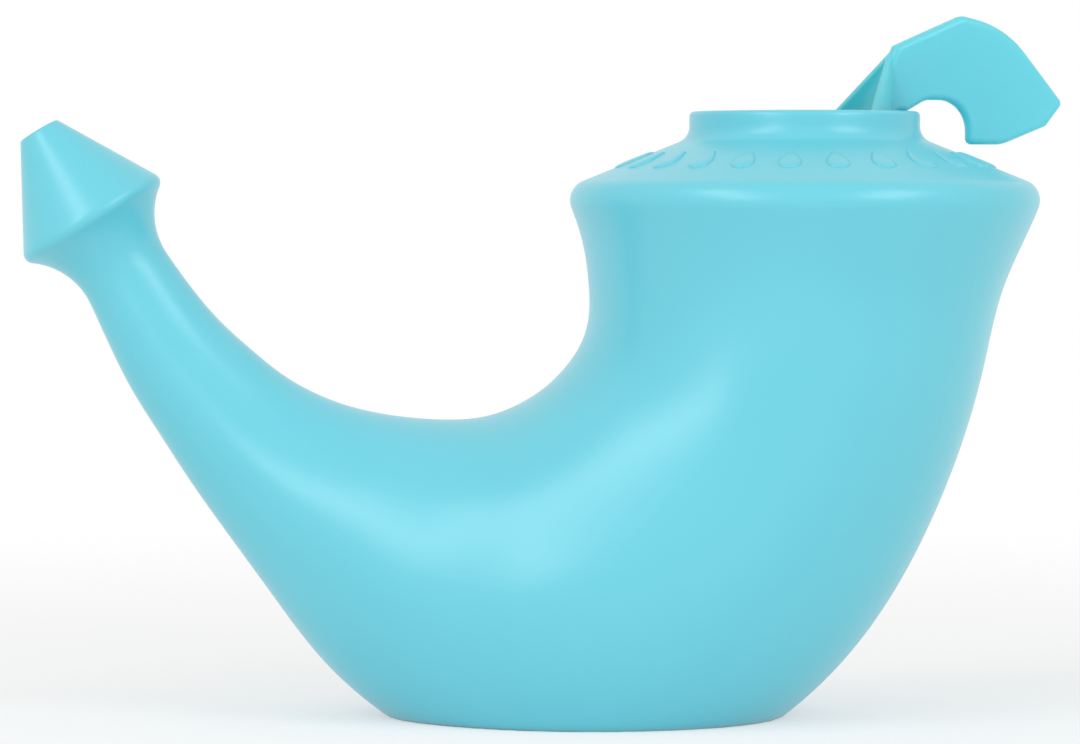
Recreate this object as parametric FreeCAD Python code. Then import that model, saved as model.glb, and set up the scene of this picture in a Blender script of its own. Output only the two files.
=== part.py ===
import FreeCAD, Part
import os
from math import cos, degrees, radians, sin, sqrt, tan

# Neti pot with its salt spoon. Millimetres, +Z up, the foot on Z = 0, the spout towards -X.
# The origin is the centre of the foot's flat face and the plane Y = 0 halves the pot.

V = FreeCAD.Vector

# Pot: wall, foot and collar.
WALL = 1.6               # same wall everywhere: the cavity is the outer form with every size less WALL
FOOT_EDGE_R = 2.0        # rounding where the belly meets the flat foot
FLOOR_EDGE_R = 1.2       # rounding around the flat floor inside
COLLAR_X = 31.3          # upright axis of shoulder, neck and mouth
SHOULDER_R = 33.3        # widest radius of the shoulder
SHOULDER_Z = 73.4        # height of that widest ring
CORNER_R = 3.0           # rounding of the shoulder's edge
FLANK = radians(22)      # below the edge the flank leans inwards by this angle from upright
SLOPE = radians(22)      # above the edge the shoulder rises inwards by this angle from level
NECK_R = 16.35           # outside of the neck
NECK_FILLET_R = 2.4      # hollow between shoulder and neck
NECK_H = 3.73            # upright length of the neck above the line of the slope
RIM_ROUND_R = 0.7        # both edges of the rim
SIDE_SHARE = 0.96        # most of a straight side that the roundings at its two ends may take

# Pot: horn, the body that narrows and turns up into the spout.
# Control rings from the flank to the nozzle: x, z, radius, and the lean of the ring's plane in degrees,
# which is the direction from the ring's centre to the inside of the bend, counted up from +X.
HORN = [
    (29.6, 61.4, 28.9, 178.6),
    (28.8, 51.9, 28.3, 170.3),
    (24.5, 39.5, 28.2, 152.0),
    (17.3, 27.7, 29.6, 132.1),
    (5.0, 18.5, 30.0, 110.6),
    (-8.7, 16.0, 28.0, 92.2),
    (-20.3, 20.1, 22.8, 76.0),
    (-28.8, 24.4, 19.4, 66.1),
    (-35.7, 29.6, 15.4, 58.7),
    (-42.3, 34.5, 12.3, 53.0),
    (-49.1, 40.5, 10.0, 47.0),
    (-54.6, 47.2, 8.65, 40.7),
    (-59.6, 52.9, 7.65, 39.1),
]
FLANK_RUN = 4.0          # height over which the horn keeps the flank's straight lean
THROAT_RUN = 1.2         # length over which the horn runs along the nozzle's axis

# Pot: nozzle, a cone on a coved throat.
TIP_X = -77.45           # centre of the cone's flat tip
TIP_Z = 83.3
NOZZLE_TILT = radians(31.3)  # lean of the nozzle's axis from upright
TIP_R = 3.0
TIP_EDGE_R = 0.5
HOLE_R = 1.7             # outlet
CONE = radians(29.7)     # half angle of the cone
THROAT_R = 6.47          # narrowest outside radius, where cove and horn meet
THROAT_T = 23.8          # distance of that ring from the tip along the axis
COVE_R = 10.2            # hollow between the cone's base and the throat
BASE_EDGE_R = 1.35       # rounding of the cone's base
BASE_CORE_R = 0.4        # rounding of the same edge inside
TOOL_RUN = 5.0           # how far a cavity solid runs past the wall that it opens

# Salt spoon: a teardrop bowl on a flat fin that hooks over the rim.
SPOON_YAW = 22.0         # the fin's plane turns this many degrees from +X towards +Y about the mouth's axis
SEAT_GAP = 0.1           # play between the hook's seat and the rim, and between the hook and the neck's bore
FIN_T = 2.2              # thickness of the fin
FIN_EDGE_R = 0.9         # rounding of its outline
FIN_CORNER_R = 0.9       # rounding of its small corners
FIN_REACH = 24.55        # from the neck's outer wall to the beak
PEAK_OUT = 8.25          # the fin's highest corner, out from that wall
PEAK_UP = 13.9           # and up from the rim
PEAK_R = 2.5
BROW_OUT = 15.35         # corner that the long outer curve is drawn around
BROW_UP = 12.3
BROW_R = 14.5
BEAK_UP = 1.4            # the beak's point, up from the rim
BEAK_IN = 2.7            # from the beak's point back to its lower corner
BEAK_H = 3.3             # height between those two corners
CHIN_OUT = 14.75         # where the fin's underside turns level
CHIN_R = 6.0
HOOK_W = 9.25            # width of the notch, from the neck's outer wall
HOOK_UP = 1.75           # top of the notch, up from the rim
HOOK_DOWN = 4.6          # underside of the hook, down from the rim
HOOK_R = 4.4             # rounding of the notch's outer top
HOOK_EASE_OUT = 2.55     # where the notch's top starts down to the seat
HOOK_EASE_R = 2.5
HEEL_IN = 2.95           # the fin's heel below the seat, in from the neck's outer wall
HEEL_DOWN = 3.4          # and down from the rim
HEEL_R = 1.5
BOWL_WALL = 1.1
BOWL_R = 9.0             # half width of the bowl at its round end
BOWL_CONE = radians(32.4)    # half angle of its pointed end
BOWL_DEPTH = 0.82        # depth over half width
BOWL_LEAN = 34.0         # the bowl hangs this many degrees from upright, with its open side up
BOWL_TIP_IN = 2.75       # its pointed end, in from the neck's outer wall
BOWL_TIP_UP = 9.0        # and up from the rim


def arc_reaches(points, roundings):
    """Length that each corner's arc takes from its two sides, and half the angle between them.

    Where two neighbouring arcs need more than the side between them, both get their share of it.
    """
    count = len(points)
    halves = []
    reaches = []
    for i, here in enumerate(points):
        half = (points[i - 1] - here).getAngle(points[(i + 1) % count] - here) / 2
        halves.append(half)
        reaches.append(roundings[i] / tan(half))
    shares = [1.0] * count
    for i in range(count):
        k = (i + 1) % count
        need = reaches[i] + reaches[k]
        room = (points[k] - points[i]).Length * SIDE_SHARE
        if need > room:
            shares[i] = min(shares[i], room / need)
            shares[k] = min(shares[k], room / need)
    return [reach * share for reach, share in zip(reaches, shares)], halves


def outline(corners):
    """Closed wire in the XZ plane through corners (x, z, rounding), with tangent arcs."""
    count = len(corners)
    points = [V(x, 0, z) for x, z, rounding in corners]
    reaches, halves = arc_reaches(points, [rounding for x, z, rounding in corners])
    arcs = []
    for i, here in enumerate(points):
        back = (points[i - 1] - here).normalize()
        ahead = (points[(i + 1) % count] - here).normalize()
        rounding = reaches[i] * tan(halves[i])
        inwards = (back + ahead).normalize()
        middle = here + inwards * (rounding / sin(halves[i]) - rounding)
        arcs.append((here + back * reaches[i], middle, here + ahead * reaches[i]))
    edges = []
    for i, (start, middle, end) in enumerate(arcs):
        if (end - start).Length > 1e-6:
            edges.append(Part.Arc(start, middle, end).toShape())
        following = arcs[(i + 1) % count][0]
        if (following - end).Length > 1e-6:
            edges.append(Part.makeLine(end, following))
    return Part.Wire(Part.__sortEdges__(edges))


def turned(wire):
    """Solid of revolution of a closed wire in the XZ plane about the Z axis."""
    return Part.Face(wire).revolve(V(0, 0, 0), V(0, 0, 1), 360)


def shoulder_corner(inset):
    """Where the lines of flank and slope would meet, for a form drawn in by inset."""
    nx = cos(FLANK) + sin(SLOPE)
    nz = cos(SLOPE) - sin(FLANK)
    spread = 1 + cos(FLANK) * sin(SLOPE) - sin(FLANK) * cos(SLOPE)
    rounding = CORNER_R - inset
    return SHOULDER_R - CORNER_R + rounding * nx / spread, SHOULDER_Z + rounding * nz / spread


def slope_meets_neck(inset):
    """Height at which the slope's line meets the neck's wall."""
    corner_r, corner_z = shoulder_corner(inset)
    return corner_z + (corner_r - NECK_R + inset) * tan(SLOPE)


def flank_ring(inset):
    """Radius and height of the ring where the shoulder's edge rounding runs into the flank."""
    rounding = CORNER_R - inset
    return SHOULDER_R - CORNER_R + rounding * cos(FLANK), SHOULDER_Z - rounding * sin(FLANK)


def collar(inset, top):
    """Shoulder and neck as one turned solid, standing on the flank ring."""
    ring_r, ring_z = flank_ring(inset)
    corner_r, corner_z = shoulder_corner(inset)
    neck_r = NECK_R - inset
    wire = outline([
        (0, ring_z, 0),
        (ring_r, ring_z, 0),
        (corner_r, corner_z, CORNER_R - inset),
        (neck_r, slope_meets_neck(inset), NECK_FILLET_R + inset),
        (neck_r, top, 0),
        (0, top, 0),
    ])
    solid = turned(wire)
    solid.translate(V(COLLAR_X, 0, 0))
    return solid


RIM_Z = slope_meets_neck(0) + NECK_H


def cone_base(inset):
    """Radius and distance from the tip where the cone's side would meet the cove."""
    start = TIP_R - inset / cos(CONE)
    rise = tan(CONE)
    side = THROAT_R + COVE_R - start
    a = 1 + rise * rise
    b = THROAT_T + rise * side
    c = side * side + THROAT_T * THROAT_T - (COVE_R + inset) ** 2
    t = (b - sqrt(b * b - a * c)) / a
    return start + rise * t, t


def nozzle(inset, edges):
    """Cone and cove as a turned solid whose axis starts at the tip; edges are its lines before the cone."""
    base_r, base_t = cone_base(inset)
    centre = V(THROAT_R + COVE_R, 0, THROAT_T)
    base = V(base_r, 0, base_t)
    throat = V(THROAT_R - inset, 0, THROAT_T)
    middle = centre + (base + throat - centre * 2).normalize() * (COVE_R + inset)
    points = edges + [base]
    lines = [Part.makeLine(p, q) for p, q in zip(points, points[1:])]
    lines.append(Part.Arc(base, middle, throat).toShape())
    lines.append(Part.makeLine(throat, V(0, 0, THROAT_T)))
    lines.append(Part.makeLine(V(0, 0, THROAT_T), edges[0]))
    return turned(Part.Wire(lines))


def circles_at(solid, height):
    """Circular edges of a solid that lie level at one height."""
    return [e for e in solid.Edges
            if abs(e.BoundBox.ZMin - height) < 1e-4 and abs(e.BoundBox.ZMax - height) < 1e-4]


def nozzle_outside():
    solid = nozzle(0, [V(0, 0, 0), V(TIP_R, 0, 0)])
    solid = solid.makeFillet(BASE_EDGE_R, circles_at(solid, cone_base(0)[1]))
    return solid.makeFillet(TIP_EDGE_R, circles_at(solid, 0))


def nozzle_inside():
    """Outlet hole, then the cone's and the cove's hollow."""
    hole_end = (HOLE_R - TIP_R + WALL / cos(CONE)) / tan(CONE)
    solid = nozzle(WALL, [V(0, 0, -TOOL_RUN), V(HOLE_R, 0, -TOOL_RUN), V(HOLE_R, 0, hole_end)])
    return solid.makeFillet(BASE_CORE_R, circles_at(solid, cone_base(WALL)[1]))


def on_nozzle(solid):
    """Carries a nozzle solid from its own axis to its place on the spout."""
    placed = solid.copy()
    placed.rotate(V(0, 0, 0), V(0, 1, 0), 180 - degrees(NOZZLE_TILT))
    placed.translate(V(TIP_X, 0, TIP_Z))
    return placed


def horn_rings(inset):
    """Centre, radius and direction to the inside of the bend, for every control ring of the horn."""
    ring_r, ring_z = flank_ring(inset)
    side = V(-1, 0, 0)
    rings = [(V(COLLAR_X, 0, ring_z), ring_r, side)]
    rings.append((V(COLLAR_X, 0, ring_z - FLANK_RUN), ring_r - FLANK_RUN * tan(FLANK), side))
    for x, z, radius, lean in HORN:
        rings.append((V(x, 0, z), radius - inset, V(cos(radians(lean)), 0, sin(radians(lean)))))
    tip = V(TIP_X, 0, TIP_Z)
    axis = V(sin(NOZZLE_TILT), 0, -cos(NOZZLE_TILT))
    across = V(cos(NOZZLE_TILT), 0, sin(NOZZLE_TILT))
    rings.append((tip + axis * (THROAT_T + THROAT_RUN), THROAT_R - inset, across))
    rings.append((tip + axis * THROAT_T, THROAT_R - inset, across))
    return rings


def horn(inset):
    """Closed solid inside a cubic skin over exact circular rings; its ends are flat discs.

    The first two rings lie on the flank's cone and the last two on the nozzle's axis, so that the
    skin runs on into shoulder and cove without a crease.
    """
    rings = horn_rings(inset)
    h = sqrt(0.5)
    circle = [(1, 0, 1), (1, 1, h), (0, 1, 1), (-1, 1, h), (-1, 0, 1), (-1, -1, h), (0, -1, 1), (1, -1, h)]
    poles = []
    weights = []
    for c, s, weight in circle:
        poles.append([centre + side * (radius * c) + V(0, radius * s, 0) for centre, radius, side in rings])
        weights.append([weight] * len(rings))
    spans = len(rings) - 3
    along = [4] + [1] * (spans - 1) + [4]
    skin = Part.BSplineSurface()
    skin.buildFromPolesMultsKnots(
        poles, [2] * 5, along, [0, 1, 2, 3, 4], list(range(spans + 1)), True, False, 2, 3, weights)
    face = skin.toShape()
    ends = [Part.Face(Part.Wire([e])) for e in face.Edges if e.isClosed()]
    shell = Part.makeShell([face] + ends)
    shell.sewShape()
    return Part.makeSolid(shell)


def cut_below(solid, height):
    """The part of a solid above one height, with the flat edges that the cut leaves."""
    box = solid.BoundBox
    span = box.DiagonalLength
    slab = Part.makeBox(3 * span, 3 * span, span, V(box.XMin - span, box.YMin - span, height - span))
    above = solid.cut(slab).Solids[0]
    return above, circles_at(above, height)


def make_pot():
    outside = collar(0, RIM_Z).fuse([horn(0), on_nozzle(nozzle_outside())]).removeSplitter()
    outside, foot_edge = cut_below(outside, 0)
    outside = outside.makeFillet(FOOT_EDGE_R, foot_edge)
    inside = collar(WALL, RIM_Z + TOOL_RUN).fuse([horn(WALL), on_nozzle(nozzle_inside())]).removeSplitter()
    inside, floor_edge = cut_below(inside, WALL)
    inside = inside.makeFillet(FLOOR_EDGE_R, floor_edge)
    pot = outside.cut(inside).Solids[0]
    return pot.makeFillet(RIM_ROUND_R, circles_at(pot, RIM_Z))


def teardrop(inset, angle):
    """Teardrop turned by an angle about the Z axis, its point towards the origin, then flattened along Y."""
    radius = BOWL_R - inset
    start = inset / sin(BOWL_CONE)
    centre = start + radius / sin(BOWL_CONE)
    tangent = V(radius * cos(BOWL_CONE), 0, centre - radius * sin(BOWL_CONE))
    middle = V(radius * cos(radians(20)), 0, centre + radius * sin(radians(20)))
    end = V(0, 0, centre + radius)
    lines = [Part.makeLine(V(0, 0, start), tangent)]
    lines.append(Part.Arc(tangent, middle, end).toShape())
    lines.append(Part.makeLine(end, V(0, 0, start)))
    drop = Part.Face(Part.Wire(lines)).revolve(V(0, 0, 0), V(0, 0, 1), angle)
    flat = FreeCAD.Matrix()
    flat.A22 = BOWL_DEPTH
    return drop.transformGeometry(flat)


def hung(solid):
    """Carries a bowl solid from its own axis to its lean under the fin's upper corner."""
    upright = FreeCAD.Placement(V(0, 0, 0), FreeCAD.Rotation(V(0, 0, 1), 90))
    lean = FreeCAD.Rotation(V(0, 1, 0), 180 + BOWL_LEAN)
    placed = solid.copy()
    placed.Placement = FreeCAD.Placement(V(NECK_R - BOWL_TIP_IN, 0, RIM_Z + BOWL_TIP_UP), lean) * upright
    return placed


def bowl_point(along, deep):
    """Point in the fin's plane, a distance along the bowl's axis from its tip and below its rim plane."""
    lean = radians(BOWL_LEAN)
    return (NECK_R - BOWL_TIP_IN - along * sin(lean) + deep * cos(lean),
            RIM_Z + BOWL_TIP_UP - along * cos(lean) - deep * sin(lean))


def fin_corners():
    """Outline of the fin in its own plane: distance from the mouth's axis, height, rounding.

    It runs from the bowl's tip over the peak and the brow to the beak, back under the chin, round the
    hook's notch to the seat on the rim, and down the neck's bore to the heel. The last corners lie in
    the bowl's wall, just below its rim plane.
    """
    bore = NECK_R - WALL
    seat = RIM_Z + SEAT_GAP
    beak = NECK_R + FIN_REACH
    chin = RIM_Z - HOOK_DOWN
    notch = RIM_Z + HOOK_UP
    return [
        (*bowl_point(-BOWL_WALL / 2, 0), FIN_CORNER_R / 2),
        (NECK_R + PEAK_OUT, RIM_Z + PEAK_UP, PEAK_R),
        (NECK_R + BROW_OUT, RIM_Z + BROW_UP, BROW_R),
        (beak, RIM_Z + BEAK_UP, FIN_CORNER_R),
        (beak - BEAK_IN, RIM_Z + BEAK_UP - BEAK_H, FIN_CORNER_R),
        (NECK_R + CHIN_OUT, chin, CHIN_R),
        (NECK_R + HOOK_W, chin, FIN_CORNER_R),
        (NECK_R + HOOK_W, notch, HOOK_R),
        (NECK_R + HOOK_EASE_OUT, notch, HOOK_EASE_R),
        (NECK_R - SEAT_GAP - WALL / 4, seat, FIN_CORNER_R / 2),
        (bore - SEAT_GAP * 4, seat, FIN_CORNER_R),
        (NECK_R - HEEL_IN, RIM_Z - HEEL_DOWN, HEEL_R),
        (*bowl_point(BOWL_R * 1.6, BOWL_R * 0.65), 0),
        (*bowl_point(BOWL_R * 0.9, BOWL_R * 0.35), 0),
        (*bowl_point(BOWL_WALL * 2, BOWL_WALL * 0.2), 0),
    ]


def make_fin():
    """The fin as a plate, and the edges of its outline that lie outside the bowl."""
    face = Part.Face(outline(fin_corners()))
    face.translate(V(0, -FIN_T / 2, 0))
    fin = face.extrude(V(0, FIN_T, 0))
    outlines = [e for e in fin.Edges if abs(abs(e.CenterOfMass.y) - FIN_T / 2) < 1e-6]
    hidden = NECK_R - BOWL_TIP_IN + BOWL_WALL / 3
    return fin, [e for e in outlines if e.BoundBox.XMax > hidden]


def make_spoon():
    fin, outlines = make_fin()
    fin = fin.makeFillet(FIN_EDGE_R, outlines)
    spoon = hung(teardrop(0, 180)).fuse(fin).cut(hung(teardrop(BOWL_WALL, 360))).Solids[0]
    spoon.translate(V(COLLAR_X, 0, 0))
    spoon.rotate(V(COLLAR_X, 0, 0), V(0, 0, 1), SPOON_YAW)
    return spoon


os.makedirs("parts", exist_ok=True)
make_pot().exportStep("parts/pot.step")
make_spoon().exportStep("parts/salt_spoon.step")
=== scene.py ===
from math import atan, cos, pi, radians, sin, sqrt, tan

import bmesh
import bpy
import numpy as np
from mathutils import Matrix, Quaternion, Vector


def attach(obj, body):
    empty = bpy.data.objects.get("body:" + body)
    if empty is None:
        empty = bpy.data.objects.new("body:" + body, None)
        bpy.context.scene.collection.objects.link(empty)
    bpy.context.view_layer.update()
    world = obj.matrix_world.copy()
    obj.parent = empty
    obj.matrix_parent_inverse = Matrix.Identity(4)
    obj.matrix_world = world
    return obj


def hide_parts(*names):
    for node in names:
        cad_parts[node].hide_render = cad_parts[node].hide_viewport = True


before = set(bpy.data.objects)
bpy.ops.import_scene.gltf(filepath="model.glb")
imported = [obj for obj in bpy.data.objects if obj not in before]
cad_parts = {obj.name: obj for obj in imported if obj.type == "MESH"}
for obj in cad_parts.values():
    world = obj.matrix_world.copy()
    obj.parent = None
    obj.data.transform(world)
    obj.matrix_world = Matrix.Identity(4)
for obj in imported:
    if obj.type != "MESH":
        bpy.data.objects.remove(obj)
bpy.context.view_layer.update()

# POT
# A hand-sized horn of moulded plastic in light turquoise: collar and mouth, belly with a flat foot,
# spout and coved cone tip are one hollow piece with an even wall. All sizes are millimetres, as in
# the solids, and become metres last.

WALL = 1.6
COLLAR_X = 31.3
SHOULDER_R = 33.3
SHOULDER_Z = 73.4
CORNER_R = 3.0
FLANK = radians(22)
SLOPE = radians(22)
NECK_R = 16.35
NECK_FILLET_R = 2.4
NECK_H = 3.73
RIM_ROUND_R = 0.7
# Control rings of the horn, from the flank to the nozzle: x, z, radius, and the lean in degrees of
# the direction from the ring's centre to the inside of the bend.
HORN = np.array([
    (29.6, 61.4, 28.9, 178.6),
    (28.8, 51.9, 28.3, 170.3),
    (24.5, 39.5, 28.2, 152.0),
    (17.3, 27.7, 29.6, 132.1),
    (5.0, 18.5, 30.0, 110.6),
    (-8.7, 16.0, 28.0, 92.2),
    (-20.3, 20.1, 22.8, 76.0),
    (-28.8, 24.4, 19.4, 66.1),
    (-35.7, 29.6, 15.4, 58.7),
    (-42.3, 34.5, 12.3, 53.0),
    (-49.1, 40.5, 10.0, 47.0),
    (-54.6, 47.2, 8.65, 40.7),
    (-59.6, 52.9, 7.65, 39.1),
])
FLANK_RUN = 4.0
THROAT_RUN = 1.2
TIP = np.array([-77.45, 83.3])
NOZZLE_TILT = radians(31.3)
TIP_R = 3.0
TIP_EDGE_R = 0.5
HOLE_R = 1.7
CONE = radians(29.7)
THROAT_R = 6.47
THROAT_T = 23.8
COVE_R = 10.2
BASE_EDGE_R = 1.35
BASE_CORE_R = 0.4
FOOT_EASE = 0.35
AXIS = np.array([sin(NOZZLE_TILT), -cos(NOZZLE_TILT)])
ACROSS = np.array([cos(NOZZLE_TILT), sin(NOZZLE_TILT)])
# Steps between points along the profiles, numbers of rings and of points in a ring, the gap between
# the skin's first and last rows at the outlet, and a millimetre in metres.
ARC_STEP = 0.45
FINE_STEP = 0.16
BASE_STEP = 0.3
COLLAR_STEP_OUT = 0.9
COLLAR_STEP_IN = 1.2
NOZZLE_STEP_OUT = 0.7
NOZZLE_STEP_IN = 0.9
HORN_RINGS_OUT = 230
HORN_RINGS_IN = 100
RING_POINTS = 176
SEAM = 0.001
MM = 0.001


def arc(centre, radius, start, end, step=ARC_STEP):
    """Points of a circle arc: centre plus radius times cosine and sine, from angle to angle."""
    count = max(4, int(abs(end - start) * radius / step) + 1)
    angle = np.linspace(start, end, count)
    return np.c_[centre[0] + radius * np.cos(angle), centre[1] + radius * np.sin(angle)]


def filled(points, step):
    """The same path with its long straight runs cut into equal steps."""
    points = np.asarray(points, float)
    runs = np.linalg.norm(np.diff(points, axis=0), axis=1)
    parts = np.maximum(1, np.ceil(runs / step).astype(int))
    where = np.repeat(np.arange(len(runs)), parts)
    share = (np.arange(parts.sum()) - np.repeat(np.cumsum(parts) - parts, parts)) / parts[where]
    inner = points[where] + share[:, None] * (points[where + 1] - points[where])
    return np.vstack([inner, points[-1:]])


def edge_corner(inset):
    """Where the straight lines of flank and slope would meet, for a skin that lies inset deep.

    Both lean by the same angle, so it is the edge's centre plus the arc's two end radii.
    """
    rounding = CORNER_R - inset
    return np.array([
        SHOULDER_R - CORNER_R + rounding * (cos(FLANK) + sin(SLOPE)),
        SHOULDER_Z + rounding * (cos(SLOPE) - sin(FLANK)),
    ])


def collar_profile(inset, top):
    """Radius and height up the collar: edge rounding, slope, hollow at the neck, upright neck."""
    corner = edge_corner(inset)
    neck_r = NECK_R - inset
    hollow = NECK_FILLET_R + inset
    meets = corner[1] + (corner[0] - neck_r) * tan(SLOPE)
    reach = hollow * tan((pi / 2 - SLOPE) / 2)
    centre = np.array([neck_r + hollow, meets + reach])
    edge = arc((SHOULDER_R - CORNER_R, SHOULDER_Z), CORNER_R - inset, -FLANK, pi / 2 - SLOPE)
    return np.vstack([edge, arc(centre, hollow, -pi / 2 - SLOPE, -pi), [[neck_r, top]]])


def cone_meets_cove(inset):
    """Radius and distance from the tip where the cone's side, drawn in by inset, meets the cove."""
    start = TIP_R - inset / cos(CONE)
    rise = tan(CONE)
    side = THROAT_R + COVE_R - start
    a = 1 + rise * rise
    b = THROAT_T + rise * side
    c = side * side + THROAT_T * THROAT_T - (COVE_R + inset) ** 2
    t = (b - sqrt(b * b - a * c)) / a
    return np.array([start + rise * t, t])


def base_and_cove(inset, rounding):
    """Rounded edge of the cone's base, then the cove's arc down to the throat."""
    centre = cone_meets_cove(inset + rounding)
    cove = np.array([THROAT_R + COVE_R, THROAT_T])
    away = np.arctan2(*(cove - centre)[::-1])
    edge = arc(centre, rounding, -CONE, away, BASE_STEP)
    turn = np.arctan2(*(edge[-1] - cove)[::-1]) % (2 * pi)
    return np.vstack([edge, arc(cove, COVE_R + inset, turn, pi)[1:]])


def upright_rings(profile):
    """Rings about the collar's axis, from radius and height.

    A ring is its centre's x and z, its pull towards the inside of the bend in x and z, and its
    half width.
    """
    r, z = profile.T
    return np.c_[np.full_like(r, COLLAR_X), z, -r, np.zeros_like(r), r]


def nozzle_rings(profile):
    """Rings about the nozzle's axis, from radius and distance from the tip."""
    r, t = profile.T
    return np.c_[TIP + t[:, None] * AXIS, r[:, None] * ACROSS, r]


def horn_rings(inset, count):
    """Rings of the horn: a clamped cubic B-spline through the control rings' centres and radii.

    At each step the ring is the weighted sum of four control rings, so centre, pull and half width
    change smoothly, and the section stays an even oval.
    """
    rounding = CORNER_R - inset
    ring_r = SHOULDER_R - CORNER_R + rounding * cos(FLANK)
    ring_z = SHOULDER_Z - rounding * sin(FLANK)
    flank = [[ring_r, ring_z], [ring_r - FLANK_RUN * tan(FLANK), ring_z - FLANK_RUN]]
    throat = [[THROAT_R - inset, THROAT_T + THROAT_RUN], [THROAT_R - inset, THROAT_T]]
    x, z, radius, lean = HORN.T
    inwards = np.c_[np.cos(np.radians(lean)), np.sin(np.radians(lean))]
    control = np.vstack([
        upright_rings(np.array(flank)),
        np.c_[x, z, (radius - inset)[:, None] * inwards, radius - inset],
        nozzle_rings(np.array(throat)),
    ])
    spans = len(control) - 3
    knots = np.r_[np.zeros(3), np.arange(spans + 1), np.full(3, spans)]
    at = np.linspace(0, spans, count)
    weight = ((at[:, None] >= knots[:-1]) & (at[:, None] < knots[1:])).astype(float)
    weight[at >= spans, spans + 2] = 1
    for degree in (1, 2, 3):
        low, high = knots[:-degree - 1], knots[degree + 1:]
        rise = np.where(knots[degree:-1] > low, knots[degree:-1] - low, np.inf)
        fall = np.where(high > knots[1:-degree], high - knots[1:-degree], np.inf)
        weight = ((at[:, None] - low) / rise * weight[:, :-1]
                  + (high - at[:, None]) / fall * weight[:, 1:])
    return weight @ control


def ring_points(rings):
    """Every ring as an oval: centre + pull times cosine + half width times sine across Y."""
    turn = np.linspace(0, 2 * pi, RING_POINTS, endpoint=False)
    x = rings[:, :1] + rings[:, 2:3] * np.cos(turn)
    z = rings[:, 1:2] + rings[:, 3:4] * np.cos(turn)
    y = rings[:, 4:5] * np.sin(turn)
    return np.stack([x, y, z], axis=-1)


def flat_foot(points, level):
    """Heights below a level are lifted to it, with a short soft change at the edge."""
    z = points[..., 2] - level
    soft = (z + FOOT_EASE) ** 2 / (4 * FOOT_EASE)
    points[..., 2] = level + np.where(z > FOOT_EASE, z, np.where(z < -FOOT_EASE, 0, soft))
    return points


def grid_quads(rows, columns, wrap_rows, wrap_columns):
    """Corner numbers of the quads in a grid of points; its rows and columns may close in a ring."""
    index = np.arange(rows * columns).reshape(rows, columns)
    if wrap_rows:
        index = np.vstack([index, index[:1]])
    if wrap_columns:
        index = np.hstack([index, index[:, :1]])
    corners = [index[:-1, :-1], index[:-1, 1:], index[1:, 1:], index[1:, :-1]]
    return np.stack(corners, axis=-1).reshape(-1, 4)


def grid_mesh(name, grids, smooth=True):
    """Mesh of quads over grids of points, each given as (points, rows wrap, columns wrap)."""
    points = np.vstack([grid.reshape(-1, 3) for grid, *_ in grids]) * MM
    starts = np.cumsum([0] + [grid.shape[0] * grid.shape[1] for grid, *_ in grids])
    quads = np.vstack([
        start + grid_quads(*grid.shape[:2], wrap_rows, wrap_columns)
        for start, (grid, wrap_rows, wrap_columns) in zip(starts, grids)])
    mesh = bpy.data.meshes.new(name)
    mesh.from_pydata(points.tolist(), [], quads.tolist())
    mesh.polygons.foreach_set("use_smooth", np.full(len(quads), smooth))
    mesh.update()
    return mesh


def add(name, data):
    """New object at the origin, linked to the scene."""
    made = bpy.data.objects.new(name, data)
    bpy.context.scene.collection.objects.link(made)
    return made


def piece(name, mesh):
    """New object at the origin that rides on the one body."""
    made = add(name, mesh)
    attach(made, "root")
    return made


rim_z = edge_corner(0)[1] + (edge_corner(0)[0] - NECK_R) * tan(SLOPE) + NECK_H
rim_low = rim_z - RIM_ROUND_R
bore_r = NECK_R - WALL
hole_end = (HOLE_R - TIP_R + WALL / cos(CONE)) / tan(CONE)
tip_edge = (TIP_R - TIP_EDGE_R / cos(CONE) + tan(CONE) * TIP_EDGE_R, TIP_EDGE_R)
collar_out = filled(collar_profile(0, rim_low), COLLAR_STEP_OUT)
collar_in = filled(collar_profile(WALL, rim_low), COLLAR_STEP_IN)
rim = np.vstack([
    arc((NECK_R - RIM_ROUND_R, rim_low), RIM_ROUND_R, 0, pi / 2, FINE_STEP)[1:],
    arc((bore_r + RIM_ROUND_R, rim_low), RIM_ROUND_R, pi / 2, pi, FINE_STEP)[:-1],
])
nozzle_out = filled(np.vstack([
    [[HOLE_R, 0]],
    arc(tip_edge, TIP_EDGE_R, -pi / 2, -CONE, FINE_STEP),
    base_and_cove(0, BASE_EDGE_R),
]), NOZZLE_STEP_OUT)
nozzle_in = filled(np.vstack([
    [[HOLE_R, SEAM], [HOLE_R, hole_end]],
    base_and_cove(WALL, BASE_CORE_R),
]), NOZZLE_STEP_IN)
outside = ring_points(np.vstack([
    nozzle_rings(nozzle_out[:-1]),
    horn_rings(0, HORN_RINGS_OUT)[::-1],
    upright_rings(np.vstack([collar_out[1:], rim])),
]))
inside = ring_points(np.vstack([
    upright_rings(collar_in[::-1]),
    horn_rings(WALL, HORN_RINGS_IN)[1:],
    nozzle_rings(nozzle_in[-2::-1]),
]))
# One skin runs from the outlet along the outside to the rim, and along the inside back to the
# outlet, where it closes on itself. Its rows are reversed so that its faces look outwards.
pot_points = np.vstack([flat_foot(outside, 0.0), flat_foot(inside, WALL)])[::-1]
pot = piece("pot_body", grid_mesh("pot_body", [(pot_points, True, True)]))
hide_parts("pot")

# Colours of the plastic from its deep to its pale clouds, its roughness and how far that varies,
# and the scales of cloudy colour, fine gloss and orange peel.
POT_DEEP = (0.131, 0.580, 0.688, 1)
POT_PALE = (0.148, 0.604, 0.712, 1)
POT_ROUGH = 0.30
CLOUD_GLOSS = 0.08
GRAIN_GLOSS = 0.04
CLOUD_SCALE = 38.0
GRAIN_SCALE = 900.0
PEEL_SCALE = 260.0


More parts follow.
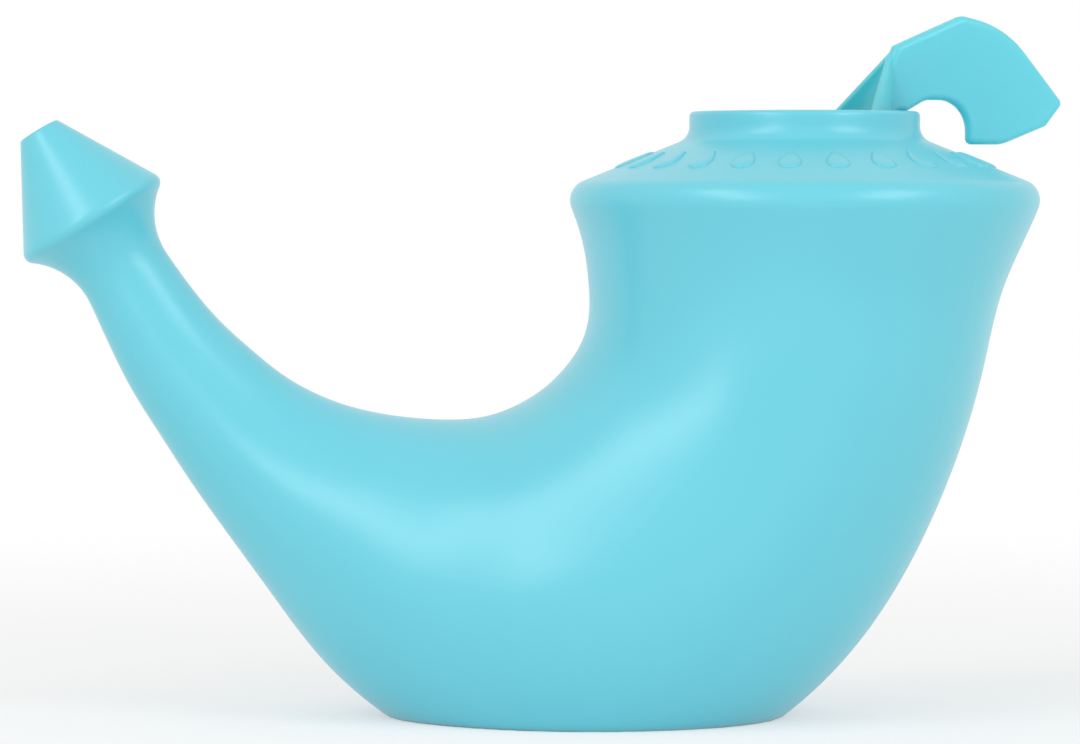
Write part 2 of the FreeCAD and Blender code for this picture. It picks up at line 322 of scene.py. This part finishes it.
class Flow:
    """A number running through a material's nodes; its operators lay Math nodes."""

    def __init__(self, sheet, socket):
        self.sheet = sheet
        self.socket = socket

    def maths(self, operation, *values):
        return self.sheet.node("ShaderNodeMath", {"operation": operation}, values)

    def __add__(self, other):
        return self.maths("ADD", self, other)

    def __radd__(self, other):
        return self.maths("ADD", other, self)

    def __sub__(self, other):
        return self.maths("SUBTRACT", self, other)

    def __mul__(self, other):
        return self.maths("MULTIPLY", self, other)


class Finish:
    """A set of shader nodes, each laid by node(): its type, its settings, then its sockets."""

    def __init__(self, tree):
        self.tree = tree
        self.tree.nodes.clear()

    def node(self, kind, settings, sockets, out=0):
        made = self.tree.nodes.new(kind)
        for key, value in settings.items():
            setattr(made, key, value)
        for key, value in sockets.items() if isinstance(sockets, dict) else enumerate(sockets):
            if isinstance(value, Flow):
                self.tree.links.new(value.socket, made.inputs[key])
            else:
                made.inputs[key].default_value = value
        return Flow(self, made.outputs[out]) if len(made.outputs) else made

    def noise(self, place, scale, detail):
        sockets = {"Vector": place, "Scale": scale, "Detail": detail}
        return self.node("ShaderNodeTexNoise", {}, sockets)

    def blend(self, share, low, high):
        sockets = {0: share, 6: low, 7: high}
        return self.node("ShaderNodeMix", {"data_type": "RGBA"}, sockets, out=2)

    def ray(self, kind):
        return self.node("ShaderNodeLightPath", {}, {}, out=kind)


def new_material(name):
    """Empty node material and the Finish that fills it."""
    material = bpy.data.materials.new(name)
    material.use_nodes = True
    return material, Finish(material.node_tree)


def moulded_plastic(name, deep, pale, rough):
    """Satin moulded plastic: faint cloudy colour, uneven gloss and a fine orange-peel skin."""
    material, finish = new_material(name)
    place = finish.node("ShaderNodeTexCoord", {}, {}, out="Object")
    cloud = finish.noise(place, CLOUD_SCALE, 3.0)
    grain = finish.noise(place, GRAIN_SCALE, 2.0)
    peel = finish.noise(place, PEEL_SCALE, 2.0)
    skin = finish.node("ShaderNodeBump", {}, {"Strength": 0.05, "Distance": 0.0004, "Height": peel})
    shader = finish.node("ShaderNodeBsdfPrincipled", {}, {
        "Base Color": finish.blend(cloud, deep, pale),
        "Roughness": rough + (cloud - 0.5) * CLOUD_GLOSS + (grain - 0.5) * GRAIN_GLOSS,
        "Normal": skin,
        "IOR": 1.53})
    finish.node("ShaderNodeOutputMaterial", {}, {"Surface": shader})
    return material


pot_skin = moulded_plastic("pot_plastic", POT_DEEP, POT_PALE, POT_ROUGH)
pot.data.materials.append(pot_skin)

# SHOULDER DROPS
# A ring of plain raised drops on the sloping shoulder, moulded with the pot. Each is a shallow
# cushion with a soft foot that runs a little way into the shoulder, its point towards the neck.

DROPS = 24
DROP_R = 24.4
DROP_LONG = 6.0
DROP_WIDE = 3.4
DROP_HIGH = 0.36
DROP_SUNK = 0.3
DROP_FLAT = 6
DROP_SOFT = 0.6
DROP_PINCH = 1.2
DROP_FULL = 1.3
DROP_RINGS = 12
DROP_POINTS = 40
MERGE_M = 1e-7
SLIVER_M = 1e-6


def close_poles(mesh):
    """Points that lie on each other, as where a whole row meets, become one; faces turn out.

    Faces with an edge or a height under a thousandth of a millimetre close up.
    """
    shape = bmesh.new()
    shape.from_mesh(mesh)
    bmesh.ops.remove_doubles(shape, verts=shape.verts, dist=MERGE_M)
    bmesh.ops.dissolve_degenerate(shape, dist=SLIVER_M, edges=shape.edges)
    bmesh.ops.recalc_face_normals(shape, faces=shape.faces)
    shape.to_mesh(mesh)
    shape.free()


def raised_drops():
    """Points of all drops, in rings from the middle to the edge, down into the shoulder and closed.

    Along the slope a ring is its share of half the length times cosine. Across it, the ring is its
    share of half the width times sine, drawn in towards the point by the sine of half the angle to
    a power. The height is one less the share to the power DROP_FLAT, all to the power DROP_SOFT.
    """
    turn = np.linspace(0, 2 * pi, DROP_POINTS, endpoint=False)
    rise = np.sin(np.linspace(0, pi / 2, DROP_RINGS))
    share = np.r_[rise, 1, 0][:, None]
    height = DROP_HIGH * (1 - rise ** DROP_FLAT) ** DROP_SOFT
    lift = np.r_[height, -DROP_SUNK, -DROP_SUNK][:, None]
    down = -DROP_LONG / 2 * share * np.cos(turn)
    pinch = np.abs(np.sin(turn / 2)) ** DROP_PINCH
    aside = DROP_WIDE / 2 * share * np.sin(turn) * pinch * DROP_FULL
    slope_z = edge_corner(0)[1] + (edge_corner(0)[0] - DROP_R) * tan(SLOPE)
    out = DROP_R + down * cos(SLOPE) + lift * sin(SLOPE)
    up = slope_z - down * sin(SLOPE) + lift * cos(SLOPE)
    bearing = (np.arange(DROPS) + 0.5)[:, None, None] * 2 * pi / DROPS + aside / out
    x = COLLAR_X + out * np.cos(bearing)
    return np.stack([x, out * np.sin(bearing), np.broadcast_to(up, bearing.shape)], axis=-1)


drop_grids = [(drop, False, True) for drop in raised_drops()]
shoulder_drops = piece("shoulder_drops", grid_mesh("shoulder_drops", drop_grids))
close_poles(shoulder_drops.data)
shoulder_drops.data.materials.append(pot_skin)

# SALT SPOON
# A small moulded spoon of the same plastic, hung by its hook on the rim: a flat fin with a notch,
# and a teardrop bowl that hangs in the mouth. Fin and bowl meet in a small fillet, and every edge
# is rounded. Sizes are in the fin's own plane: out from the mouth's axis, and height.

SPOON_YAW = radians(22)
SEAT_GAP = 0.1
FIN_T = 2.2
FIN_EDGE_R = 0.9
FIN_CORNER_R = 0.9
FIN_REACH = 24.55
PEAK_OUT = 8.25
PEAK_UP = 13.9
PEAK_R = 2.5
BROW_OUT = 15.35
BROW_UP = 12.3
BROW_R = 14.5
BEAK_UP = 1.4
BEAK_IN = 2.7
BEAK_H = 3.3
CHIN_OUT = 14.75
CHIN_R = 6.0
HOOK_W = 9.25
HOOK_UP = 1.75
HOOK_DOWN = 4.6
HOOK_R = 4.4
HOOK_EASE_OUT = 2.55
HOOK_EASE_R = 2.5
HEEL_IN = 2.95
HEEL_DOWN = 3.4
HEEL_R = 1.5
BOWL_WALL = 1.1
BOWL_R = 9.0
BOWL_CONE = radians(32.4)
BOWL_DEPTH = 0.82
BOWL_LEAN = radians(34)
BOWL_TIP_IN = 2.75
BOWL_TIP_UP = 9.0
LIP_R = 0.45
BOWL_TIP = np.array([NECK_R - BOWL_TIP_IN, rim_z + BOWL_TIP_UP])
BOWL_AXIS = np.array([-sin(BOWL_LEAN), -cos(BOWL_LEAN)])
BOWL_DEEP = np.array([cos(BOWL_LEAN), -sin(BOWL_LEAN)])
BOWL_CENTRE = BOWL_R / sin(BOWL_CONE)
# Where the fin's upper and lower edges start in the bowl's wall: along the bowl's axis, and deep.
FIN_TOP = (1.6, 0.45)
FIN_FOOT = (14.4, 6.64)
# Largest fillet between fin and bowl, its share of the half width that the bowl has over the fin,
# how deep the fin's skin lies under the bowl's, and how far the fin's first row is tucked in.
FILLET_R = 2.4
FILLET_SHARE = 0.4
SUNK_R = 0.04
TUCK = 0.4
# Numbers of points, rings and halvings, the step along the fin's edges, and a guard against
# dividing by nothing.
BOWL_ROUND_POINTS = 97
BOWL_SIDE_POINTS = 30
BOWL_RINGS = 30
LIP_RINGS = 6
CORNER_POINTS = 15
PATH_STEP = 0.3
FIN_STATIONS = 190
FIN_COLUMNS = 54
HALVINGS = 24
TINY = 1e-6


def yawed(points):
    """Points (out, aside, height) of the spoon, turned about the mouth's axis to their place."""
    out, aside, height = np.moveaxis(points, -1, 0)
    return np.stack([
        COLLAR_X + out * cos(SPOON_YAW) - aside * sin(SPOON_YAW),
        out * sin(SPOON_YAW) + aside * cos(SPOON_YAW), height], axis=-1)


def bowl_half_width(along, inset):
    """Half width of the teardrop at a distance from its point: a cone's side, then a circle."""
    radius = BOWL_R - inset
    straight = along * tan(BOWL_CONE) - inset / cos(BOWL_CONE)
    circle = np.sqrt(np.clip(radius ** 2 - (along - BOWL_CENTRE) ** 2, 0, None))
    on_cone = along < BOWL_CENTRE - radius * sin(BOWL_CONE)
    return np.clip(np.where(on_cone, straight, circle), 0, None)


def bowl_outline(inset):
    """Closed teardrop in the rim plane, drawn in by inset: distance from the point, and aside."""
    radius = BOWL_R - inset
    turn = np.linspace(-pi / 2 - BOWL_CONE, pi / 2 + BOWL_CONE, BOWL_ROUND_POINTS)
    circle = np.c_[BOWL_CENTRE + radius * np.cos(turn), radius * np.sin(turn)]
    point = np.array([[inset / sin(BOWL_CONE), 0]])
    share = np.linspace(0, 1, BOWL_SIDE_POINTS)[1:, None]
    to_point = circle[-1] + (point - circle[-1]) * share
    from_point = point + (circle[0] - point) * share[:-1]
    return np.vstack([circle, to_point, from_point])


def bowl_skin(inset):
    """Rings of the bowl from its deepest point to its rim.

    Each ring is the outline drawn towards the centre by the sine of an even angle. It lies as deep
    as BOWL_DEPTH times the root of half width squared less aside squared.
    """
    share = np.sin(np.linspace(0, pi / 2, BOWL_RINGS))[:, None, None]
    centre = np.array([BOWL_CENTRE, 0])
    flat = centre + (bowl_outline(inset) - centre) * share
    room = bowl_half_width(flat[..., 0], inset) ** 2 - flat[..., 1] ** 2
    deep = LIP_R + (BOWL_DEPTH - LIP_R / BOWL_R) * np.sqrt(np.clip(room, 0, None))
    deep[-1] = LIP_R
    return np.concatenate([flat, deep[..., None]], axis=-1)


def bowl_lip():
    """Rings over the rim: a quarter round, a narrow flat and a quarter round down to the inside."""
    turn = np.linspace(0, pi / 2, LIP_RINGS)
    run, drop = LIP_R * (1 - np.cos(turn)), LIP_R * (1 - np.sin(turn))
    insets = np.r_[run, BOWL_WALL - run[::-1]][1:-1]
    depths = np.r_[drop, drop[::-1]][1:-1]
    outlines = np.stack([bowl_outline(inset) for inset in insets])
    return np.concatenate([
        outlines, np.broadcast_to(depths[:, None, None], outlines[..., :1].shape)], axis=-1)


bowl = np.concatenate([bowl_skin(0), bowl_lip(), bowl_skin(BOWL_WALL)[::-1]])
along, aside, deep = np.moveaxis(bowl, -1, 0)
bowl_plane = BOWL_TIP + along[..., None] * BOWL_AXIS + deep[..., None] * BOWL_DEEP
bowl_points = yawed(np.stack([bowl_plane[..., 0], aside, bowl_plane[..., 1]], axis=-1))


def rounded_path(corners):
    """Open path through corners (out, height, rounding), each inner one turned into an arc."""
    corners = np.array(corners, float)
    point, rounding = corners[:, :2], corners[1:-1, 2]
    back = point[:-2] - point[1:-1]
    ahead = point[2:] - point[1:-1]
    back /= np.linalg.norm(back, axis=1)[:, None]
    ahead /= np.linalg.norm(ahead, axis=1)[:, None]
    half = np.arccos((back * ahead).sum(1)) / 2
    middle = (back + ahead) / np.linalg.norm(back + ahead, axis=1)[:, None]
    centre = point[1:-1] + middle * (rounding / np.sin(half))[:, None]
    reach = (rounding / np.tan(half))[:, None]
    start = point[1:-1] + back * reach - centre
    end = point[1:-1] + ahead * reach - centre
    share = np.linspace(0, 1, CORNER_POINTS)[None, :, None]
    chord = start[:, None] * (1 - share) + end[:, None] * share
    chord *= rounding[:, None, None] / np.linalg.norm(chord, axis=2)[..., None]
    arcs = (centre[:, None] + chord).reshape(-1, 2)
    return filled(np.vstack([point[:1], arcs, point[-1:]]), PATH_STEP)


def evenly(path, count):
    """The same path in equal steps of its own length."""
    length = np.r_[0, np.cumsum(np.linalg.norm(np.diff(path, axis=0), axis=1))]
    at = np.linspace(0, length[-1], count)
    return np.c_[np.interp(at, length, path[:, 0]), np.interp(at, length, path[:, 1])]


def edge_distance(points, path):
    """Distance from each point of the fin's plane to the nearest run of its outline."""
    a, b = path[:-1], path[1:]
    along = b - a
    away = points[..., None, :] - a
    length_squared = np.maximum((along ** 2).sum(1), TINY ** 2)
    share = np.clip((away * along).sum(-1) / length_squared, 0, 1)
    return np.linalg.norm(away - share[..., None] * along, axis=-1).min(-1)


def bowl_point(along, deep):
    """Point of the fin's plane, along the bowl's axis from its tip and deep below its rim plane."""
    return BOWL_TIP + along * BOWL_AXIS + deep * BOWL_DEEP


# Both edges of the fin run from the bowl's wall to the middle of the beak's end.
beak = NECK_R + FIN_REACH
beak_end = (beak - BEAK_IN / 2, rim_z + BEAK_UP - BEAK_H / 2, 0)
seat = rim_z + SEAT_GAP
notch = rim_z + HOOK_UP
chin = rim_z - HOOK_DOWN
upper = rounded_path([
    (*bowl_point(*FIN_TOP), 0),
    (*bowl_point(-BOWL_WALL / 2, 0), FIN_CORNER_R / 2),
    (NECK_R + PEAK_OUT, rim_z + PEAK_UP, PEAK_R),
    (NECK_R + BROW_OUT, rim_z + BROW_UP, BROW_R),
    (beak, rim_z + BEAK_UP, FIN_CORNER_R),
    beak_end,
])
lower = rounded_path([
    (*bowl_point(*FIN_FOOT), 0),
    (NECK_R - HEEL_IN, rim_z - HEEL_DOWN, HEEL_R),
    (bore_r - SEAT_GAP * 4, seat, FIN_CORNER_R),
    (NECK_R - SEAT_GAP - WALL / 4, seat, FIN_CORNER_R / 2),
    (NECK_R + HOOK_EASE_OUT, notch, HOOK_EASE_R),
    (NECK_R + HOOK_W, notch, HOOK_R),
    (NECK_R + HOOK_W, chin, FIN_CORNER_R),
    (NECK_R + CHIN_OUT, chin, CHIN_R),
    (beak - BEAK_IN, rim_z + BEAK_UP - BEAK_H, FIN_CORNER_R),
    beak_end,
])


def bowl_clearance(plane, aside):
    """Distance from the bowl's outer skin of points in the fin's plane moved aside; less inside.

    The skin is where the root of aside squared plus stretched depth squared equals the half width,
    so their difference over the length of its slope is the distance.
    """
    along, deep = (plane - BOWL_TIP) @ BOWL_AXIS, (plane - BOWL_TIP) @ BOWL_DEEP - LIP_R
    stretch = BOWL_DEPTH - LIP_R / BOWL_R
    sunk = np.clip(deep, 0, None)
    across = np.hypot(aside, sunk / stretch) + TINY
    steep = (aside ** 2 + (sunk / stretch ** 2) ** 2) / across ** 2
    slope = np.sqrt(steep + tan(BOWL_CONE) ** 2)
    return np.maximum((across - bowl_half_width(along, 0)) / slope, -deep - LIP_R) + SUNK_R


def ruled_fin(stations, columns):
    """The fin as one closed skin: straight lines from the lower edge to the upper one, both sides.

    Half the thickness at a point is a quarter circle over the distance from the edge, plus what
    FIN_T leaves. At the bowl it is where the rounded union of fin and bowl ends: a circle that
    touches both, found by halving and smaller where the bowl narrows. The last row closes the
    beak, and the first two lie in the bowl's wall.
    """
    share = (1 - np.cos(np.linspace(0, pi, columns)))[:, None] / 2
    low, high = evenly(lower, stations)[:, None], evenly(upper, stations)[:, None]
    plane = low * (1 - share) + high * share
    inwards = np.clip(edge_distance(plane, np.vstack([lower, upper[::-1]])), 0, FIN_EDGE_R)
    thin = FIN_T / 2 - FIN_EDGE_R + np.sqrt(FIN_EDGE_R ** 2 - (FIN_EDGE_R - inwards) ** 2)
    inner, outer = np.zeros_like(thin), np.full_like(thin, BOWL_R)
    width = bowl_half_width((plane - BOWL_TIP) @ BOWL_AXIS, 0)
    fillet = np.clip((width - FIN_T / 2) * FILLET_SHARE, SUNK_R, FILLET_R)
    for _ in range(HALVINGS):
        half = (inner + outer) / 2
        off_fin, off_bowl = half - thin, bowl_clearance(plane, half)
        corner = np.hypot(np.clip(fillet - off_fin, 0, None), np.clip(fillet - off_bowl, 0, None))
        within = np.maximum(fillet, np.minimum(off_fin, off_bowl)) < corner
        inner, outer = np.where(within, half, inner), np.where(within, outer, half)
    sides = np.concatenate([
        np.stack([plane[..., 0], half, plane[..., 1]], axis=-1),
        np.stack([plane[..., 0], -half, plane[..., 1]], axis=-1)[:, ::-1]], axis=1)
    tuck = sides[:1] + (sides[:1] - sides[1:2]) * TUCK
    start = np.broadcast_to(tuck.mean(axis=1, keepdims=True), tuck.shape)
    return np.concatenate([start, tuck, sides])


# Bowl and fin become one mesh by an exact union; the fin's own object goes again.
fin_points = yawed(ruled_fin(FIN_STATIONS, FIN_COLUMNS))
spoon = piece("hooked_spoon", grid_mesh("hooked_spoon", [(bowl_points, False, True)]))
close_poles(spoon.data)
fin = add("fin", grid_mesh("fin", [(fin_points, False, True)]))
close_poles(fin.data)
join = spoon.modifiers.new("join", "BOOLEAN")
join.operation = "UNION"
join.solver = "EXACT"
join.object = fin
evaluated = spoon.evaluated_get(bpy.context.evaluated_depsgraph_get())
joined = bpy.data.meshes.new_from_object(evaluated)
spoon.modifiers.clear()
spoon.data = joined
close_poles(spoon.data)
bpy.data.objects.remove(fin)
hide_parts("salt_spoon")

# The spoon's plastic is a little deeper in colour, duller, and lets some light through.
SPOON_DEEP = (0.118, 0.545, 0.650, 1)
SPOON_PALE = (0.134, 0.569, 0.674, 1)
SPOON_ROUGH = 0.36
spoon_skin = moulded_plastic("spoon_plastic", SPOON_DEEP, SPOON_PALE, SPOON_ROUGH)
shader = spoon_skin.node_tree.nodes["Principled BSDF"]
shader.inputs["Subsurface Weight"].default_value = 0.6
shader.inputs["Subsurface Radius"].default_value = (0.25, 1.0, 1.1)
shader.inputs["Subsurface Scale"].default_value = 0.008
spoon.data.materials.append(spoon_skin)

# STAGE
# A white table top that takes the pot's soft shadow. To the camera and in reflections it glows half
# white near the pot and all white further off, where it runs on into the white world.

STAGE_HALF = 4000.0
stage_white, finish = new_material("stage_white")
place = finish.node("ShaderNodeTexCoord", {}, {}, out="Object")
away = finish.node("ShaderNodeVectorMath", {"operation": "LENGTH"}, [place], out="Value")
seen = finish.ray("Is Camera Ray")
mirrored = finish.ray("Is Glossy Ray")
fade = finish.node("ShaderNodeMapRange", {"interpolation_type": "SMOOTHSTEP"}, {
    "Value": away, "From Min": 0.10, "From Max": 0.42, "To Min": 0.5, "To Max": 1.0})
board = finish.node("ShaderNodeBsdfDiffuse", {}, {"Color": (0.94, 0.94, 0.94, 1)})
glow = finish.node("ShaderNodeEmission", {}, {"Color": (1, 1, 1, 1), "Strength": 1.0})
surface = finish.node("ShaderNodeMixShader", {}, {0: (seen + mirrored) * fade, 1: board, 2: glow})
finish.node("ShaderNodeOutputMaterial", {}, {"Surface": surface})
corners = STAGE_HALF * np.array([[[-1, -1, 0], [1, -1, 0]], [[-1, 1, 0], [1, 1, 0]]])
floor = add("table_top", grid_mesh("table_top", [(corners, False, False)], smooth=False))
floor.data.materials.append(stage_white)

# CAMERA AND LIGHTS
# The camera stands 0.72 m off, level with the shoulder and looking slightly down. Two soft boxes
# stand front left and front right, turned to the pot and leaned sideways. The world gives an even
# white light, and is full white to the camera, in reflections and through clear surfaces.

DISTANCE = 720.0
EYE_Z = 75.0
EYE_X = -6.26
MIDDLE_Z = 49.0
MM_PER_PIXEL = 0.1422
PHOTO_PIXELS = 1080
SENSOR = 36.0
LAMP_AIM = Vector((0, 0, 0.04))
WORLD_LIGHT = 0.69
pitch = atan((EYE_Z - MIDDLE_Z) / DISTANCE)
camera_data = bpy.data.cameras.new("camera")
camera_data.sensor_width = SENSOR
camera_data.lens = SENSOR * DISTANCE / cos(pitch) / MM_PER_PIXEL / PHOTO_PIXELS
camera_data.clip_end = 20
camera = add("camera", camera_data)
camera.location = (EYE_X / 1000, -DISTANCE / 1000, EYE_Z / 1000)
camera.rotation_euler = (pi / 2 - pitch, 0, 0)
bpy.context.scene.camera = camera


def soft_lamp(name, place, lean, width, height, watts):
    """Soft box at a place in metres, turned to the pot and leaned sideways by degrees."""
    data = bpy.data.lights.new(name, "AREA")
    data.shape = "RECTANGLE"
    data.size = width
    data.size_y = height
    data.energy = watts
    lamp = add(name, data)
    lamp.location = place
    turned = (LAMP_AIM - lamp.location).to_track_quat("-Z", "Y")
    lamp.rotation_euler = (turned @ Quaternion((0, 0, 1), radians(lean))).to_euler()


soft_lamp("lamp_left", (-0.64, -0.74, 0.64), lean=30, width=0.34, height=1.10, watts=3.9)
soft_lamp("lamp_right", (0.72, -0.75, 0.62), lean=-30, width=0.46, height=0.85, watts=3.7)
world = bpy.data.worlds.new("world")
world.use_nodes = True
finish = Finish(world.node_tree)
direct = finish.ray("Is Camera Ray") + finish.ray("Is Glossy Ray")
direct = direct + finish.ray("Is Transmission Ray")
sky = finish.node("ShaderNodeBackground", {}, {
    "Color": (1, 1, 1, 1), "Strength": WORLD_LIGHT + direct * (1 - WORLD_LIGHT)})
finish.node("ShaderNodeOutputWorld", {}, {"Surface": sky})
bpy.context.scene.world = world
bpy.context.scene.view_settings.view_transform = "Standard"
